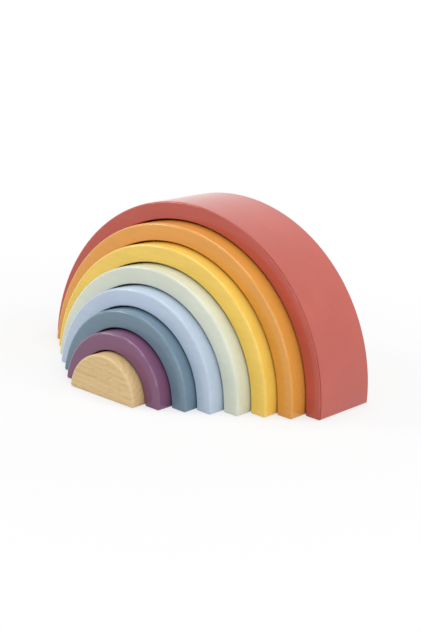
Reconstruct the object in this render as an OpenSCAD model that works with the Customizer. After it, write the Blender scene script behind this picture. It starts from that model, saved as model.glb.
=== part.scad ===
// Rainbow stacker: seven nested wooden arches and a solid half disc, all loose.
// The pieces stand on the floor and are drawn forward one after another, like a telescope.
// X runs across the arches, Y runs from front to back, Z is up.
// The origin lies on the floor, under the middle of the whole set as it stands.

/* [Arches] */
// Outer radius of the red arch, which is the height of the whole set
outer_r = 122.5; // [110:0.5:160]
// Thickness of every arch between its two curved faces
wall = 12.2; // [6:0.1:14]
// Clear gap all round between one piece and the next
gap = 1.15; // [0.5:0.05:3]
// Depth of every piece from front to back, the thickness of the board that it is sawn from
depth = 57; // [20:0.5:90]

/* [Sanded edges] */
// Radius of the rounded rims along the curved faces
rim_r = 2; // [0.8:0.1:2.9]
// Width of the bevel that breaks the edges under the feet
foot_bevel = 1; // [0.3:0.1:2.5]

/* [How far each piece stands in front of the one around it] */
// Orange arch in front of the red arch
orange_pull = 13.8; // [0:0.1:80]
// Yellow arch in front of the orange arch
yellow_pull = 11.4; // [0:0.1:80]
// Green arch in front of the yellow arch
green_pull = 12.6; // [0:0.1:80]
// Light blue arch in front of the green arch
light_blue_pull = 11.9; // [0:0.1:80]
// Slate blue arch in front of the light blue arch
slate_blue_pull = 10.1; // [0:0.1:80]
// Purple arch in front of the slate blue arch
purple_pull = 11.3; // [0:0.1:80]
// Half disc in front of the purple arch
half_disc_pull = 10.6; // [0:0.1:80]

/* [Hidden] */
$fn = 128;

// How far each piece stands in front of the red arch, from the outside in
orange_front = orange_pull;
yellow_front = orange_front + yellow_pull;
green_front = yellow_front + green_pull;
light_blue_front = green_front + light_blue_pull;
slate_blue_front = light_blue_front + slate_blue_pull;
purple_front = slate_blue_front + purple_pull;
half_disc_front = purple_front + half_disc_pull;

// Y of the red arch's back, with the whole set centred front to back
back_y = (depth + half_disc_front) / 2;
// How much the outer radius shrinks from one piece to the next
pitch = wall + gap;
// How far a cutting shape runs past what it cuts
overrun = wall / 4;

// Outer radius of a piece, counted from the red arch inwards
function piece_r(index) = outer_r - index * pitch;

// Sets a piece, made with its back at Y zero, where it stands
module stand(front) {
    translate([0, back_y - front, 0]) children();
}

// Half of a turned ring about the Y axis, with a section drawn as radius across and depth up
module half_turn() {
    rotate([90, 0, 0]) rotate_extrude(angle = 180) children();
}

// Rectangle with four rounded corners
module rounded_box(width, height, corner_r) {
    translate([corner_r, 0]) square([width - 2 * corner_r, height]);
    translate([0, corner_r]) square([width, height - 2 * corner_r]);
    for (x = [corner_r, width - corner_r], y = [corner_r, height - corner_r])
        translate([x, y]) circle(corner_r);
}

// Waste of a bevel on an edge along the corner of two faces, which lie on the X and Y axes
module bevel_waste() {
    far = foot_bevel + overrun;
    polygon([[far, -overrun], [-overrun, -overrun], [-overrun, far]]);
}

// Cutting bars that bevel the floor edges of a curved face at both feet, where the wood lies inside radius r
module outer_edges(r) {
    for (side = [0, 1])
        mirror([side, 0, 0]) translate([r, overrun, 0])
            rotate([90, 0, 0]) linear_extrude(depth + 2 * overrun) mirror([1, 0]) bevel_waste();
}

// The same where the wood lies outside radius r
module inner_edges(r) {
    for (side = [0, 1])
        mirror([side, 0, 0]) translate([r, overrun, 0])
            rotate([90, 0, 0]) linear_extrude(depth + 2 * overrun) bevel_waste();
}

// Cutting bars that bevel the front and back floor edges of a piece of radius r
module end_edges(r) {
    for (side = [0, 1])
        translate([0, -depth / 2, 0]) mirror([0, side, 0])
            translate([-r - overrun, -depth / 2, 0])
                rotate([90, 0, 90]) linear_extrude(2 * (r + overrun)) bevel_waste();
}

// One arch with its back at Y zero
module arch(r) {
    inner_r = r - wall;
    difference() {
        half_turn() translate([inner_r, 0]) rounded_box(wall, depth, rim_r);
        outer_edges(r);
        inner_edges(inner_r);
        end_edges(r);
    }
}

module red_arch() {
    color("#c96e63") stand(0) arch(piece_r(0));
}

module orange_arch() {
    color("#dc9b4b") stand(orange_front) arch(piece_r(1));
}

module yellow_arch() {
    color("#e6be5e") stand(yellow_front) arch(piece_r(2));
}

module green_arch() {
    color("#c9cfbb") stand(green_front) arch(piece_r(3));
}

module light_blue_arch() {
    color("#aebccf") stand(light_blue_front) arch(piece_r(4));
}

module slate_blue_arch() {
    color("#708290") stand(slate_blue_front) arch(piece_r(5));
}

module purple_arch() {
    color("#815d73") stand(purple_front) arch(piece_r(6));
}

module half_disc() {
    r = piece_r(7);
    color("#d3b683") stand(half_disc_front) difference() {
        half_turn() intersection() {
            translate([-r, 0]) rounded_box(2 * r, depth, rim_r);
            square([r, depth]);
        }
        outer_edges(r);
        end_edges(r);
    }
}

red_arch();
orange_arch();
yellow_arch();
green_arch();
light_blue_arch();
slate_blue_arch();
purple_arch();
half_disc();
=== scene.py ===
"""Rainbow stacker: seven painted wooden arches and a plain beech half disc on a pale studio floor."""
import math

import bpy
from mathutils import Matrix, Quaternion, Vector, noise


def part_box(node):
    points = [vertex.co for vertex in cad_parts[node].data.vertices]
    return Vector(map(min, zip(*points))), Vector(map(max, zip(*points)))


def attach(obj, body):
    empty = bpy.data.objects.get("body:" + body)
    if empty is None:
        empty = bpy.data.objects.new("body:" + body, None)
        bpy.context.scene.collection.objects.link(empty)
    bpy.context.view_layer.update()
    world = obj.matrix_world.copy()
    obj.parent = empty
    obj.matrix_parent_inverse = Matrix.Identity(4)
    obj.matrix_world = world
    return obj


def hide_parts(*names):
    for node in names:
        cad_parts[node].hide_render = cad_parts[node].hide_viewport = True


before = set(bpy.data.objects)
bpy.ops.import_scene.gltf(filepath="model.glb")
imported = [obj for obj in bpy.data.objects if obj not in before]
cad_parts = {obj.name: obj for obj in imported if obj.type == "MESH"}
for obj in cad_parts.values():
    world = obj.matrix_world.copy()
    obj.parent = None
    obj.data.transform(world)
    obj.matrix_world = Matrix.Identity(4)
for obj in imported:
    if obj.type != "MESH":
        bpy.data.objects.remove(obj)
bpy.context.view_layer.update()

# Wall of every arch, in metres as all lengths here
WALL = 0.0122

# Radii of the rounded rims and of the edges under the feet
RIM_R = 0.002
RED_RIM_R = 0.0013
INNER_RIM_R = 0.0008
FOOT_R = 0.0013
DISC_FOOT_R = 0.0021

# Height over which a rim grows from its size at the foot, and how uneven hand sanding leaves it
RIM_GROWS_OVER = 0.010
RIM_UNEVEN_SHARE = 0.08
SANDING_WAVE = 0.06

# Thin darker line along the outer rims of the red arch, fading out towards the crest
LINE_FROM = math.radians(50)
LINE_TO = math.radians(80)
LINE_TONE = 0.62
LINE_STARTS_AT = 0.025
LINE_GROWS_OVER = 0.040

# Fineness of the meshes
ARC_STEPS = 132
CORNER_STEPS = 6
RIM_STEPS = 6
FLAT_STEPS = 8
QUARTER = math.pi / 2

# Paint on each arch, from the outside in, as sRGB
PAINTS = {
    "red_arch": (0.755, 0.338, 0.282),
    "orange_arch": (0.897, 0.630, 0.274),
    "yellow_arch": (0.965, 0.812, 0.370),
    "green_arch": (0.867, 0.886, 0.811),
    "light_blue_arch": (0.750, 0.811, 0.890),
    "slate_blue_arch": (0.447, 0.545, 0.610),
    "purple_arch": (0.507, 0.326, 0.456),
}
RED = "red_arch"
DISC = "half_disc"

# Patterns in the paint, in cells per metre, and how far they shift from one arch to the next
PORE_SCALE = (260, 2400, 2400)
PAINT_GRAIN_SCALE = (26, 420, 420)
CLOUD_SCALE = (22, 34, 34)
SMUDGE_SCALE = (150, 150, 150)
PEEL_SCALE = 620.0
PATTERN_SHIFT = 1.7

# How the paint shows them: brightness of its tones, the share of pits, and a painted highlight that lightens
# patches of the rims towards white
PAINT_DARK = 0.94
PAINT_LIGHT = 1.05
PIT_TONE = 0.72
PIT_SHARE = 0.20
# Painted highlight: patches of the rims are lightened towards white
RIM_HIGHLIGHT_WHITE = 0.25
RIM_HIGHLIGHT_SHARE = 0.35

# Finish of the paint, which is matt inside the tunnels
PAINT_ROUGHNESS = 0.36
TUNNEL_ROUGHNESS = 0.45
COAT_WEIGHT = 0.85
COAT_ROUGHNESS = 0.12
PAINT_SPECULAR = 0.10
PAINT_BUMP = 0.14
PAINT_BUMP_DEPTH = 0.0005

# Beech, as sRGB
BEECH_PALE = (0.888, 0.777, 0.578)
BEECH_DARK = (0.824, 0.694, 0.484)
# Pale ray colour, also used for the painted highlight on the rims
BEECH_RAY_AND_HIGHLIGHT = (0.925, 0.835, 0.670)
BEECH_FLECK = (0.640, 0.475, 0.300)

# Growth rings of the beech: their distance, the tree's middle from the disc's own middle, slope and wander
RING_PITCH = 0.0032
PITH_Y = 0.030
PITH_Z = -0.085
RING_SLOPE = 0.03
RING_WANDER = 0.008

# Patterns in the beech, in cells per metre
WANDER_SCALE = (9, 26, 26)
FIBRE_SCALE = (60, 1300, 1300)
STREAK_SCALE = (16, 300, 300)
FLECK_SCALE = (240, 1700, 1250)
PALE_RAY_SCALE = (190, 1500, 1100)
PALE_RAY_SHIFT = (4, 2, 7)

# How the beech shows them, and its finish
FLECK_SHARE = 0.28
PALE_RAY_SHARE = 0.45
# Painted highlight along the beech's rims, in the pale ray colour
BEECH_RIM_HIGHLIGHT_SHARE = 0.25
BEECH_ROUGHNESS = 0.50
BEECH_SPECULAR = 0.4
BEECH_BUMP = 0.22
BEECH_BUMP_DEPTH = 0.0004

# Floor: half its side, its card, and how white it shows near the object and away from it
FLOOR_REACH = 14.0
FLOOR_CARD = (0.86, 0.86, 0.86, 1.0)
FLOOR_NEAR_WHITE = 0.68
FLOOR_FADE_FROM = 0.12
FLOOR_FADE_TO = 0.40
WHITE = (1.0, 1.0, 1.0, 1.0)

# Light of the room, and its lamps: where each stands, its width and height, its watts, and its turn
ROOM_LEVEL = 0.47
LAMP_AIM = (0.0, 0.0, 0.05)
LAMPS = {
    "key_left": ((-1.6, -1.2, 1.0), (0.7, 0.7), 11.0, 0.0),
    "fill_right": ((1.5, 0.8, 1.2), (1.2, 1.0), 6.0, 0.0),
    "top_sheet": ((-0.1, 0.3, 1.9), (1.6, 1.2), 15.0, 0.0),
    # Turned so that it runs along the rims on the right
    "rim_strip": ((1.2, -0.75, 1.0), (1.5, 0.2), 6.4, math.radians(-45)),
}

# Photograph's frame in pixels, and the camera that was fitted to the arches' outlines in it
PHOTO_LONG_SIDE = 631
FOCAL_PIXELS = 1557.67
CAMERA_AZIMUTH = math.radians(38.149)
CAMERA_ELEVATION = math.radians(16.394)
CAMERA_ROLL = math.radians(4.697)
CAMERA_DISTANCE = 1.0782
CAMERA_AIM_X = 0.02358
CAMERA_AIM_Z = 0.04871


def linear(srgb, share=1.0):
    """A colour as the shaders want it, from the sRGB values that a picture shows."""
    values = [c / 12.92 if c <= 0.04045 else ((c + 0.055) / 1.055) ** 2.4 for c in srgb]
    return (*[v * share for v in values], 1.0)


class Value:
    """A shader socket that takes part in sums."""

    def __init__(self, graph, socket):
        self.graph = graph
        self.socket = socket

    def math(self, operation, first, second):
        return self.graph.node("ShaderNodeMath", {"operation": operation}, {0: first, 1: second})

    def __add__(self, other):
        return self.math("ADD", self, other)

    def __radd__(self, other):
        return self.math("ADD", other, self)

    def __sub__(self, other):
        return self.math("SUBTRACT", self, other)

    def __rsub__(self, other):
        return self.math("SUBTRACT", other, self)

    def __mul__(self, other):
        return self.math("MULTIPLY", self, other)

    def __rmul__(self, other):
        return self.math("MULTIPLY", other, self)

    def __truediv__(self, other):
        return self.math("DIVIDE", self, other)

    def __pow__(self, other):
        return self.math("POWER", self, other)

    def __mod__(self, other):
        return self.math("FLOORED_MODULO", self, other)


class Graph:
    """The node tree of a material or of the room, built one node at a time."""

    def __init__(self, owner):
        owner.use_nodes = True
        self.owner = owner
        self.tree = owner.node_tree
        self.tree.nodes.clear()

    def node(self, kind, settings, sockets, out=0):
        """Adds a node: its settings first, then its sockets' values or links. Gives one of its outputs."""
        made = self.tree.nodes.new(kind)
        for key, value in settings.items():
            setattr(made, key, value)
        for key, value in sockets.items():
            if isinstance(value, Value):
                self.tree.links.new(value.socket, made.inputs[key])
            else:
                made.inputs[key].default_value = value
        return Value(self, made.outputs[out]) if len(made.outputs) else None

    def place(self):
        return self.node("ShaderNodeTexCoord", {}, {}, "Object")

    def stretched(self, place, scale, shift=(0, 0, 0)):
        return self.node("ShaderNodeMapping", {}, {"Vector": place, "Location": shift, "Scale": scale})

    def noise(self, place, scale=1.0, detail=2.0, rough=0.5):
        sockets = {"Vector": place, "Scale": scale, "Detail": detail, "Roughness": rough}
        return self.node("ShaderNodeTexNoise", {}, sockets)

    def step(self, value, low, high):
        """Zero below low, one above high, smooth between."""
        settings = {"interpolation_type": "SMOOTHSTEP"}
        return self.node("ShaderNodeMapRange", settings, {"Value": value, "From Min": low, "From Max": high})

    def blend(self, share, first, second):
        """One colour where the share is zero, the other where it is one."""
        settings = {"data_type": "RGBA"}
        return self.node("ShaderNodeMix", settings, {"Factor": share, 6: first, 7: second}, 2)

    def mesh_value(self, name):
        return self.node("ShaderNodeAttribute", {"attribute_name": name}, {}, "Fac")

    def bump(self, height, strength, distance):
        sockets = {"Height": height, "Strength": strength, "Distance": distance}
        return self.node("ShaderNodeBump", {}, sockets)

    def principled(self, sockets):
        shader = self.node("ShaderNodeBsdfPrincipled", {}, sockets)
        self.node("ShaderNodeOutputMaterial", {}, {"Surface": shader})
        return self.owner


def painted_beech(name, srgb, shift, lined):
    """Satin opaque paint over sanded beech: the grain and pores show faintly through it, and patches of its
    rims carry a painted highlight.
    """
    g = Graph(bpy.data.materials.new(name))
    place = g.place()
    pores = g.noise(g.stretched(place, PORE_SCALE, (shift, shift, 0)), detail=2.0)
    grain = g.noise(g.stretched(place, PAINT_GRAIN_SCALE, (shift, 0, shift)), detail=4.0, rough=0.6)
    clouds = g.noise(g.stretched(place, CLOUD_SCALE, (0, shift, shift)), detail=3.0)
    smudges = g.noise(g.stretched(place, SMUDGE_SCALE, (shift, 0, 0)), detail=4.0)
    peel = g.noise(place, PEEL_SCALE, 2.0)
    tunnel = g.mesh_value("tunnel")
    # Painted highlight: patches along the rims are lightened towards white, and their roughness is a little
    # lower
    highlit_rims = g.mesh_value("rim") * g.step(smudges, 0.50, 0.72)
    pits = g.step(pores, 0.63, 0.75)
    tone = g.step(clouds * 0.62 + grain * 0.38, 0.30, 0.70)
    colour = g.blend(tone, linear(srgb, PAINT_DARK), linear(srgb, PAINT_LIGHT))
    colour = g.blend(pits * PIT_SHARE, colour, linear(srgb, PIT_TONE))
    highlight_paint = tuple((1 - RIM_HIGHLIGHT_WHITE) * c + RIM_HIGHLIGHT_WHITE for c in srgb)
    colour = g.blend(highlit_rims * RIM_HIGHLIGHT_SHARE, colour, linear(highlight_paint))
    coat = COAT_WEIGHT * (1 - tunnel)
    if lined:
        line = g.mesh_value("line")
        colour = g.blend(line, colour, linear(srgb, LINE_TONE))
        coat = coat * (1 - line)
    worn = grain * 0.10 + pits * 0.12 - highlit_rims * 0.06
    return g.principled({
        "Base Color": colour,
        "Roughness": PAINT_ROUGHNESS + worn + tunnel * TUNNEL_ROUGHNESS,
        "Coat Weight": coat,
        "Coat Roughness": COAT_ROUGHNESS,
        "Normal": g.bump(grain * 0.45 + peel * 0.35 - pits * 0.5, PAINT_BUMP, PAINT_BUMP_DEPTH),
        "Specular IOR Level": PAINT_SPECULAR,
    })


def plain_beech(name, middle):
    """Sanded beech: growth rings about a far pith, long fibres, short brown ray flecks, and a painted
    highlight along its rims.
    """
    g = Graph(bpy.data.materials.new(name))
    place = g.stretched(g.place(), (1, 1, 1), tuple(-c for c in middle))
    axes = {axis: g.node("ShaderNodeSeparateXYZ", {}, {"Vector": place}, axis) for axis in "XYZ"}
    wander = g.noise(g.stretched(place, WANDER_SCALE), detail=2.0)
    across = axes["Y"] - PITH_Y
    up = axes["Z"] - PITH_Z + axes["X"] * RING_SLOPE
    radius = (across * across + up * up) ** 0.5 + wander * RING_WANDER
    ring = (radius / RING_PITCH) % 1.0
    late = g.step(ring, 0.20, 0.80) * (1 - g.step(ring, 0.82, 1.0))
    fibres = g.noise(g.stretched(place, FIBRE_SCALE), detail=5.0, rough=0.62)
    streaks = g.noise(g.stretched(place, STREAK_SCALE), detail=3.0)
    flecks = g.step(g.noise(g.stretched(place, FLECK_SCALE), detail=1.0), 0.61, 0.70)
    rays = g.noise(g.stretched(place, PALE_RAY_SCALE, PALE_RAY_SHIFT), detail=1.0)
    pale_rays = g.step(rays, 0.62, 0.72)
    tone = g.step(late * 0.13 + fibres * 0.48 + streaks * 0.50, 0.28, 0.82)
    colour = g.blend(tone, linear(BEECH_PALE), linear(BEECH_DARK))
    colour = g.blend(pale_rays * PALE_RAY_SHARE, colour, linear(BEECH_RAY_AND_HIGHLIGHT))
    colour = g.blend(flecks * FLECK_SHARE, colour, linear(BEECH_FLECK))
    # Painted highlight: the rims are lightened towards the pale ray colour
    colour = g.blend(g.mesh_value("rim") * BEECH_RIM_HIGHLIGHT_SHARE, colour, linear(BEECH_RAY_AND_HIGHLIGHT))
    return g.principled({
        "Base Color": colour,
        "Roughness": BEECH_ROUGHNESS + fibres * 0.14 - late * 0.05,
        "Normal": g.bump(fibres * 0.6 - flecks * 0.5 + late * 0.2, BEECH_BUMP, BEECH_BUMP_DEPTH),
        "Specular IOR Level": BEECH_SPECULAR,
    })


def shown_white(g):
    """One for the rays that show the white room itself: straight to the camera, or in gloss and glass."""
    rays = ("Is Camera Ray", "Is Glossy Ray", "Is Transmission Ray")
    camera, glossy, clear = [g.node("ShaderNodeLightPath", {}, {}, ray) for ray in rays]
    return 1 - (1 - camera) * (1 - glossy) * (1 - clear)


def studio_floor(name):
    """White floor: it shows faint shadows near the object, and light bounces off it as off white card."""
    g = Graph(bpy.data.materials.new(name))
    card = g.node("ShaderNodeBsdfDiffuse", {}, {"Color": FLOOR_CARD})
    glow = g.node("ShaderNodeEmission", {}, {"Color": WHITE, "Strength": 1.0})
    reach = g.node("ShaderNodeVectorMath", {"operation": "LENGTH"}, {0: g.place()}, "Value")
    away = g.step(reach, FLOOR_FADE_FROM, FLOOR_FADE_TO)
    glowing = shown_white(g) * (FLOOR_NEAR_WHITE + away * (1 - FLOOR_NEAR_WHITE))
    shader = g.node("ShaderNodeMixShader", {}, {0: glowing, 1: card, 2: glow})
    g.node("ShaderNodeOutputMaterial", {}, {"Surface": shader})
    return g.owner


def arc(centre, radius, start, end, steps):
    """Points on an arc in the front view, with their directions from the arc's centre."""
    out = []
    for i in range(steps + 1):
        angle = start + (end - start) * i / steps
        way = Vector((math.cos(angle), math.sin(angle)))
        out.append((Vector(centre) + way * radius, way))
    return out


def mirrored(half):
    """The left half of a symmetric chain of points, from its right half, which ends at the top."""
    return [(Vector((-p.x, p.y)), Vector((-n.x, n.y))) for p, n in reversed(half[:-1])]


def outer_chain(radius, foot_r):
    """Curved outer face with a rounded edge at each foot, from the right foot over to the left."""
    corner = (math.sqrt((radius - foot_r) ** 2 - foot_r ** 2), foot_r)
    touch = math.atan2(corner[1], corner[0])
    half = arc(corner, foot_r, -QUARTER, touch, CORNER_STEPS)
    half += arc((0, 0), radius, touch, QUARTER, ARC_STEPS // 2)[1:]
    return half + mirrored(half)


def inner_chain(radius, foot_r):
    """Curved inner face of an arch, in step with its outer face."""
    corner = (math.sqrt((radius + foot_r) ** 2 - foot_r ** 2), foot_r)
    touch = math.atan2(corner[1], corner[0])
    half = arc(corner, foot_r, -QUARTER, touch - math.pi, CORNER_STEPS)
    half += [(p, -way) for p, way in arc((0, 0), radius, touch, QUARTER, ARC_STEPS // 2)[1:]]
    return half + mirrored(half)


def flat_chain(outer):
    """Straight underside of the half disc, in step with its curved face."""
    reach = outer[0][0].x
    last = len(outer)
    return [(Vector((reach * (1 - 2 * (i + 1) / (last + 1)), 0)), Vector((0, -1))) for i in range(last)]


def rim_radius(point, foot_r, rim_r, seed):
    """Radius of the sanded rim at a point: that of the foot low down, and a little uneven, as by hand."""
    share = min(1.0, max(0.0, (point.y - foot_r) / RIM_GROWS_OVER))
    share = share * share * (3 - 2 * share)
    full = foot_r + (rim_r - foot_r) * share
    uneven = noise.noise(Vector((point.x / SANDING_WAVE, point.y / SANDING_WAVE, seed)))
    return full * (1 - RIM_UNEVEN_SHARE * share * (0.5 + 0.5 * uneven))


def line_share(point):
    """How much of the dark line shows at a point: none at the crest, all of it down the sides."""
    return min(1.0, max(0.0, (abs(point.x) - LINE_STARTS_AT) / LINE_GROWS_OVER))


def rim_stations():
    """Sections of a piece: the turn round its front or back rim, and the share of the way to the back."""
    front = [(QUARTER * i / RIM_STEPS, 0.0) for i in range(RIM_STEPS + 1)]
    between = [(QUARTER, i / FLAT_STEPS) for i in range(1, FLAT_STEPS)]
    back = [(QUARTER * (1 - i / RIM_STEPS), 1.0) for i in range(RIM_STEPS + 1)]
    return front + between + back


def skin(sections, size, half):
    """Faces from section to section, then strips across the flat front and back."""
    faces = []
    for s in range(sections - 1):
        for i in range(size):
            j = (i + 1) % size
            faces.append((s * size + i, (s + 1) * size + i, (s + 1) * size + j, s * size + j))
    last = (sections - 1) * size
    for i in range(half - 1):
        strip = (i, i + 1, size - 2 - i, size - 1 - i)
        faces.append(strip)
        faces.append(tuple(last + corner for corner in reversed(strip)))
    return faces


def turned_piece(name, outer, inner, edges, front, back, seed):
    """Solid with the same outline all through, between two flat faces whose rims are rounded."""
    inward = inner[::-1]
    loop = outer + inward
    half = len(outer)
    foot_r, outer_rim_r, inner_rim_r = edges
    rims = [rim_radius(p, foot_r, outer_rim_r, seed) for p, _ in outer]
    rims += [rim_radius(p, foot_r, inner_rim_r, seed) for p, _ in inward]
    stations = rim_stations()
    points, normals = [], []
    marks = {"rim": [], "line": [], "tunnel": []}
    for turn, along in stations:
        lined = LINE_FROM < turn < LINE_TO
        for i, ((p, n), rim) in enumerate(zip(loop, rims)):
            inset = rim * (1 - math.sin(turn))
            edge = rim * (1 - math.cos(turn))
            near = front + edge if along < 1 else front + rim
            far = back - edge if along > 0 else back - rim
            y = near + (far - near) * along
            facing = math.cos(turn) * (1 if along == 1 else -1)
            points.append((p.x - n.x * inset, y, p.y - n.y * inset))
            normals.append((n.x * math.sin(turn), facing, n.y * math.sin(turn)))
            marks["rim"].append(math.sin(2 * turn))
            marks["line"].append(line_share(p) if lined and i < half else 0.0)
            marks["tunnel"].append(math.sin(turn) ** 4 if i >= half else 0.0)
    mesh = bpy.data.meshes.new(name)
    mesh.from_pydata(points, [], skin(len(stations), len(loop), half))
    for mark, values in marks.items():
        mesh.attributes.new(mark, "FLOAT", "POINT").data.foreach_set("value", values)
    mesh.shade_smooth()
    mesh.normals_split_custom_set_from_vertices(normals)
    mesh.validate()
    piece = bpy.data.objects.new(name, mesh)
    bpy.context.scene.collection.objects.link(piece)
    return piece


def dress(piece, node, material):
    """Puts a finished piece in the place of its plain solid."""
    piece.data.materials.append(material)
    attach(piece, node)
    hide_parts(node)


def paint_arch(index, node, srgb):
    low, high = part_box(node)
    radius = high.z
    outer = outer_chain(radius, FOOT_R)
    inner = inner_chain(radius - WALL, FOOT_R)
    red = node == RED
    edges = (FOOT_R, RED_RIM_R if red else RIM_R, INNER_RIM_R)
    piece = turned_piece(node + "_painted", outer, inner, edges, low.y, high.y, index)
    dress(piece, node, painted_beech(node + "_paint", srgb, PATTERN_SHIFT * index, red))


def sand_half_disc(seed):
    low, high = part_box(DISC)
    outer = outer_chain(high.z, DISC_FOOT_R)
    edges = (DISC_FOOT_R, RIM_R, DISC_FOOT_R)
    piece = turned_piece(DISC + "_sanded", outer, flat_chain(outer), edges, low.y, high.y, seed)
    middle = (0.0, (low.y + high.y) / 2, 0.0)
    dress(piece, DISC, plain_beech("bare_beech", middle))


def lay_floor():
    reach = FLOOR_REACH
    mesh = bpy.data.meshes.new("floor")
    corners = [(-reach, -reach, 0), (reach, -reach, 0), (reach, reach, 0), (-reach, reach, 0)]
    mesh.from_pydata(corners, [], [(0, 1, 2, 3)])
    mesh.materials.append(studio_floor("floor_card"))
    floor = bpy.data.objects.new("floor", mesh)
    bpy.context.scene.collection.objects.link(floor)


def softbox(name, at, size, power, turn):
    """Flat lamp that faces the object, turned about its own axis."""
    data = bpy.data.lights.new(name, "AREA")
    data.shape = "RECTANGLE"
    data.size, data.size_y = size
    data.energy = power
    lamp = bpy.data.objects.new(name, data)
    lamp.location = at
    facing = (Vector(LAMP_AIM) - Vector(at)).to_track_quat("-Z", "Y")
    lamp.rotation_euler = (facing @ Quaternion((0, 0, 1), turn)).to_euler()
    bpy.context.scene.collection.objects.link(lamp)


def light_studio():
    """Soft room light from all round, which shows as white, and the lamps."""
    world = bpy.data.worlds.new("studio")
    bpy.context.scene.world = world
    g = Graph(world)
    room = g.node("ShaderNodeBackground", {}, {"Color": WHITE, "Strength": ROOM_LEVEL})
    white = g.node("ShaderNodeBackground", {}, {"Color": WHITE, "Strength": 1.0})
    shader = g.node("ShaderNodeMixShader", {}, {0: shown_white(g), 1: room, 2: white})
    g.node("ShaderNodeOutputWorld", {}, {"Surface": shader})
    for name, (at, size, power, turn) in LAMPS.items():
        softbox(name, at, size, power, turn)


def set_camera():
    """Camera at the photograph's angle, rolled a little sideways as that was."""
    level = math.cos(CAMERA_ELEVATION)
    across = math.sin(CAMERA_AZIMUTH)
    ahead = math.cos(CAMERA_AZIMUTH)
    back = Vector((across * level, -ahead * level, math.sin(CAMERA_ELEVATION)))
    right = Vector((ahead, across, 0.0))
    up = back.cross(right)
    rolled_right = math.cos(CAMERA_ROLL) * right + math.sin(CAMERA_ROLL) * up
    rolled_up = back.cross(rolled_right)
    aim = Vector((CAMERA_AIM_X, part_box(RED)[0].y, CAMERA_AIM_Z))
    at = aim + back * CAMERA_DISTANCE
    data = bpy.data.cameras.new("photo_camera")
    data.lens = FOCAL_PIXELS * data.sensor_width / PHOTO_LONG_SIDE
    camera = bpy.data.objects.new("photo_camera", data)
    axes = Matrix((rolled_right, rolled_up, back)).transposed().to_4x4()
    camera.matrix_world = Matrix.Translation(at) @ axes
    bpy.context.scene.collection.objects.link(camera)
    bpy.context.scene.camera = camera


for index, (node, srgb) in enumerate(PAINTS.items()):
    paint_arch(index, node, srgb)
sand_half_disc(len(PAINTS))
lay_floor()
light_studio()
set_camera()
bpy.context.scene.view_settings.view_transform = "Standard"
